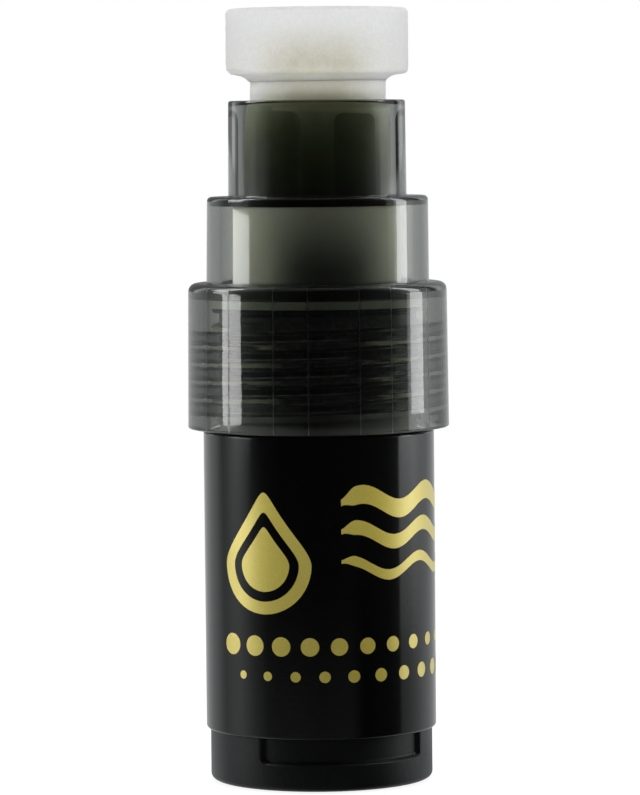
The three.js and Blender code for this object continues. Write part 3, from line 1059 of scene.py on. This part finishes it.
# Cuts the flat print into narrow upright strips, gives it thickness and wraps it round the barrel.
def wrapPrint(shape, look):
    along = look["cutFrom"]
    while along < look["cutTo"]:
        everything = shape.verts[:] + shape.edges[:] + shape.faces[:]
        bmesh.ops.bisect_plane(shape, geom=everything, dist=1e-8, plane_co=(along * mm, 0, 0),
                               plane_no=(1, 0, 0))
        along += look["cutEvery"]
    bmesh.ops.recalc_face_normals(shape, faces=shape.faces[:])
    for face in shape.faces:
        if face.normal.y > 0:
            face.normal_flip()
    bmesh.ops.solidify(shape, geom=shape.faces[:], thickness=look["thickness"] * mm)
    near = min(vertex.co.y for vertex in shape.verts)
    for vertex in shape.verts:
        radius = (look["barrelRadius"] + look["thickness"] - look["sunk"]) * mm - (vertex.co.y - near)
        turn = vertex.co.x / (look["barrelRadius"] * mm)
        vertex.co.x = radius * math.sin(turn)
        vertex.co.y = -radius * math.cos(turn)
    bmesh.ops.recalc_face_normals(shape, faces=shape.faces[:])


def makePrint():
    shape = bmesh.new()
    addDrop(shape, printShape["drop"])
    addWaves(shape, printShape["waves"])
    addDots(shape, printShape["dots"])
    wrapPrint(shape, printShape)
    finishPiece(shape, "goldPrint", "bottle", goldInk, weighted=False)


makePrint()
print("print made")

# Floor: a pale round sheet that fades out, so that the white background has no edge.
floorLook = {"radius": 260.0, "segments": 96, "under": 0.1, "solid": 0.35, "gone": 0.98, "albedo": 0.3,
             "shown": 0.88}


def makeFloor():
    look = floorLook
    shape = bmesh.new()
    bmesh.ops.create_circle(shape, cap_ends=True, segments=look["segments"], radius=look["radius"] * mm)
    bmesh.ops.translate(shape, verts=shape.verts[:], vec=(0, 0, -look["under"] * mm))
    mesh = bpy.data.meshes.new("studioFloor")
    shape.to_mesh(mesh)
    shape.free()
    material, tree, shader = startMaterial("paleFloor", Roughness=0.9, Specular_IOR_Level=0.1,
                                           Base_Color=grey(look["albedo"]), Emission_Color=grey(1.0))
    rays = addNode(tree, "ShaderNodeLightPath")
    white = calc(tree, "MAXIMUM", rays.outputs["Is Camera Ray"], rays.outputs["Is Transmission Ray"])
    length = addNode(tree, "ShaderNodeVectorMath", operation="LENGTH")
    feed(length.inputs[0], addNode(tree, "ShaderNodeTexCoord").outputs["Object"])
    far = calc(tree, "DIVIDE", length.outputs["Value"], look["radius"] * mm)
    shown = ramp(tree, far, [(look["solid"], 1.0), (look["gone"], 0.0)], smooth=True)
    # Mirror rays pass through it and meet the studio's own lower half.
    seen = invert(tree, rays.outputs["Is Glossy Ray"])
    fill(shader, Emission_Strength=times(tree, white, look["shown"]), Alpha=times(tree, shown, seen))
    mesh.materials.append(material)
    floor = bpy.data.objects.new("studioFloor", mesh)
    scene.collection.objects.link(floor)


makeFloor()
print("floor made")

# Studio: how bright the surroundings are, by degrees from the front, positive to the right. Gloss mirrors
# one level above the horizon, another below it and a third lower down, where the table adds its own. What
# lies inside the clear head gets its own level too, and matt surfaces outside are lit by the lamps. One level
# gives way to the next within a band of a direction's height, or of its depth for low and table.
studioLook = {
    "gloss": [(-180, 0.7), (-145, 0.7), (-125, 0.65), (-113, 0.3), (-105, 0.5), (-96, 0.94), (-88, 0.94),
              (-79, 0.55), (-72, 0.13), (-62, 0.05), (-40, 0.02), (0, 0.012), (45, 0.03), (72, 0.06),
              (82, 0.12), (86, 0.14), (86.8, 1.85), (108, 1.9), (120, 1.1), (133, 0.7), (180, 0.7)],
    "glossLow": [(-180, 0.7), (-145, 0.7), (-125, 0.65), (-110, 0.45), (-96, 0.7), (-88, 0.8), (-79, 0.6),
                 (-68, 0.3), (-55, 0.06), (-40, 0.02), (0, 0.012), (45, 0.02), (72, 0.04), (86, 0.08),
                 (88, 0.3), (100, 0.42), (110, 0.55), (122, 0.7), (180, 0.7)],
    "glossHigh": [(-180, 0.2), (-147, 0.25), (-141, 1.35), (-135, 1.3), (-128, 0.75), (-125, 0.65),
                  (-113, 0.3), (-105, 0.4), (-96, 0.62), (-88, 0.6), (-79, 0.4), (-72, 0.15), (-62, 0.06),
                  (-40, 0.02), (0, 0.012), (45, 0.03), (64, 0.06), (76, 0.25), (84, 0.7), (96, 0.75),
                  (108, 0.7), (120, 0.55), (124, 0.12), (130, 0.12), (135, 1.1), (143, 1.3), (152, 0.6),
                  (180, 0.3)],
    "glossTop": 0.2,
    "table": [(-90, 0.0), (-60, 0.16), (-35, 0.16), (0, 0.12), (30, 0.14), (44, 0.0)],
    "matt": 0.15,
    "inside": [(-180, 1.0), (-140, 4.0), (-120, 8.0), (-97, 8.0), (-88, 6.0), (-78, 2.2), (-66, 0.5),
               (-50, 0.1), (0, 0.075), (50, 0.11), (66, 0.4), (80, 2.2), (94, 5.0), (120, 5.6), (140, 4.0),
               (180, 1.0)],
    "insideTop": 1.0,
    "topBand": (0.8, 0.98),
    "insideTopBand": (0.55, 0.9),
    "horizonGain": 10.0,  # a ramp starts at 0, so the band below is of the depth times this, plus a half
    "horizonBand": [(0.47, 1.0), (0.52, 0.0)],
    "lowBand": (0.068, 0.122),
    "tableBand": (0.113, 0.142),
    "scale": 8.0,
    "tint": (0.965, 0.99, 1.0),
}


def makeWorld():
    look = studioLook
    world = bpy.data.worlds.new("studio")
    world.use_nodes = True
    scene.world = world
    tree = world.node_tree
    x, y, z = splitPlace(tree, "Generated")
    turn = calc(tree, "ARCTAN2", x, times(tree, y, -1.0))
    share = timesPlus(tree, turn, 1 / fullTurn, 0.5)
    steep = fade(tree, z, look["topBand"], smooth=True)
    high = fade(tree, z, look["insideTopBand"], smooth=True)
    below = times(tree, z, -1.0)
    around = {}
    for kind in ("gloss", "glossLow", "glossHigh", "table", "inside"):
        stops = [(degrees / 360 + 0.5, value / look["scale"]) for degrees, value in look[kind]]
        around[kind] = times(tree, ramp(tree, share, stops), look["scale"])
    gloss = mixLevel(tree, fade(tree, below, look["lowBand"]), around["gloss"], around["glossLow"])
    level = timesPlus(tree, below, look["horizonGain"], 0.5)
    gloss = mixLevel(tree, ramp(tree, level, look["horizonBand"]), gloss, around["glossHigh"])
    onTable = fade(tree, below, look["tableBand"])
    gloss = timesPlus(tree, onTable, around["table"], gloss)
    gloss = mixLevel(tree, steep, gloss, look["glossTop"])
    inside = mixLevel(tree, high, around["inside"], look["insideTop"])
    # Straight views, also through clear plastic, meet the white background.
    rays = addNode(tree, "ShaderNodeLightPath")
    bounced = calc(tree, "ADD", rays.outputs["Diffuse Depth"], rays.outputs["Glossy Depth"])
    through = times(tree, rays.outputs["Is Transmission Ray"], calc(tree, "LESS_THAN", bounced, 0.5))
    straight = calc(tree, "MAXIMUM", rays.outputs["Is Camera Ray"], through)
    scattered = calc(tree, "GREATER_THAN", rays.outputs["Diffuse Depth"], 0.5)
    within = times(tree, rays.outputs["Is Transmission Ray"], scattered)
    mirrored = calc(tree, "GREATER_THAN", rays.outputs["Glossy Depth"], 0.5)
    mirrored = times(tree, mirrored, invert(tree, scattered))
    strength = mixLevel(tree, mirrored, look["matt"], gloss)
    strength = mixLevel(tree, within, strength, inside)
    strength = mixLevel(tree, straight, strength, 1.0)
    background = tree.nodes["Background"]
    fill(background, Color=mixColour(tree, straight, look["tint"], (1.0, 1.0, 1.0)), Strength=strength)


# Lamps: (degrees from the front, distance, lowest, highest, width in degrees, radiance, seen in gloss).
# Those that gloss mirrors light nothing else, and the others light only matt surfaces.
lampLook = {
    "leftLow": (-80.9, 300.0, 23.3, 47.6, 21.5, 5.4, True),
    "leftMiddle": (-85.2, 300.0, 47.6, 63.2, 23.5, 5.2, True),
    "leftHigh": (-95.0, 300.0, 82.0, 190.0, 20.0, 4.5, True),
    "leftTop": (-105.5, 300.0, 190.0, 450.0, 23.0, 6.0, True),
    "rightLow": (96.3, 300.0, 24.6, 63.2, 16.0, 4.5, True),
    "rightHigh": (95.8, 300.0, 82.0, 400.0, 14.5, 4.5, True),
    "leftSoft": (-104.0, 500.0, -40.0, 360.0, 45.0, 2.05, False),
    "rightSoft": (104.0, 500.0, -40.0, 360.0, 45.0, 2.25, False),
    "backSoft": (180.0, 600.0, 0.0, 400.0, 50.0, 1.6, False),
}
# Large soft lamps for matt surfaces: (place, what they point at, size, power in watts). The last is the
# light that the white table throws back.
softLook = {
    "frontFill": ((-60.0, -560.0, 190.0), (0.0, 0.0, 50.0), 500.0, 0.3),
    "sky": ((0.0, 0.0, 600.0), (0.0, 0.0, 50.0), 400.0, 1.35),
    "tableBounce": ((0.0, -360.0, 2.0), (0.0, -360.0, 100.0), 560.0, 1.85),
}


def addLamp(name, spot, aim, width, height, power, glossOnly):
    data = bpy.data.lights.new(name, "AREA")
    data.shape = "RECTANGLE"
    data.size = width * mm
    data.size_y = height * mm
    data.energy = power
    lamp = bpy.data.objects.new(name, data)
    scene.collection.objects.link(lamp)
    spot = Vector(spot) * mm
    facing = (Vector(aim) * mm - spot).to_track_quat("-Z", "Y").to_matrix().to_4x4()
    lamp.matrix_world = Matrix.Translation(spot) @ facing
    lamp.visible_camera = False
    lamp.visible_transmission = False
    lamp.visible_diffuse = not glossOnly
    lamp.visible_glossy = glossOnly


def makeLamps():
    for name, (turn, distance, low, high, spread, radiance, glossOnly) in lampLook.items():
        angle = math.radians(turn)
        middle = (low + high) / 2
        spot = (distance * math.sin(angle), -distance * math.cos(angle), middle)
        width = distance * math.radians(spread)
        power = radiance * math.pi * width * mm * (high - low) * mm
        addLamp(name, spot, (0, 0, middle), width, high - low, power, glossOnly)
    for name, (spot, aim, size, power) in softLook.items():
        addLamp(name, spot, aim, size, size, power, False)


makeWorld()
makeLamps()
print("studio lit")
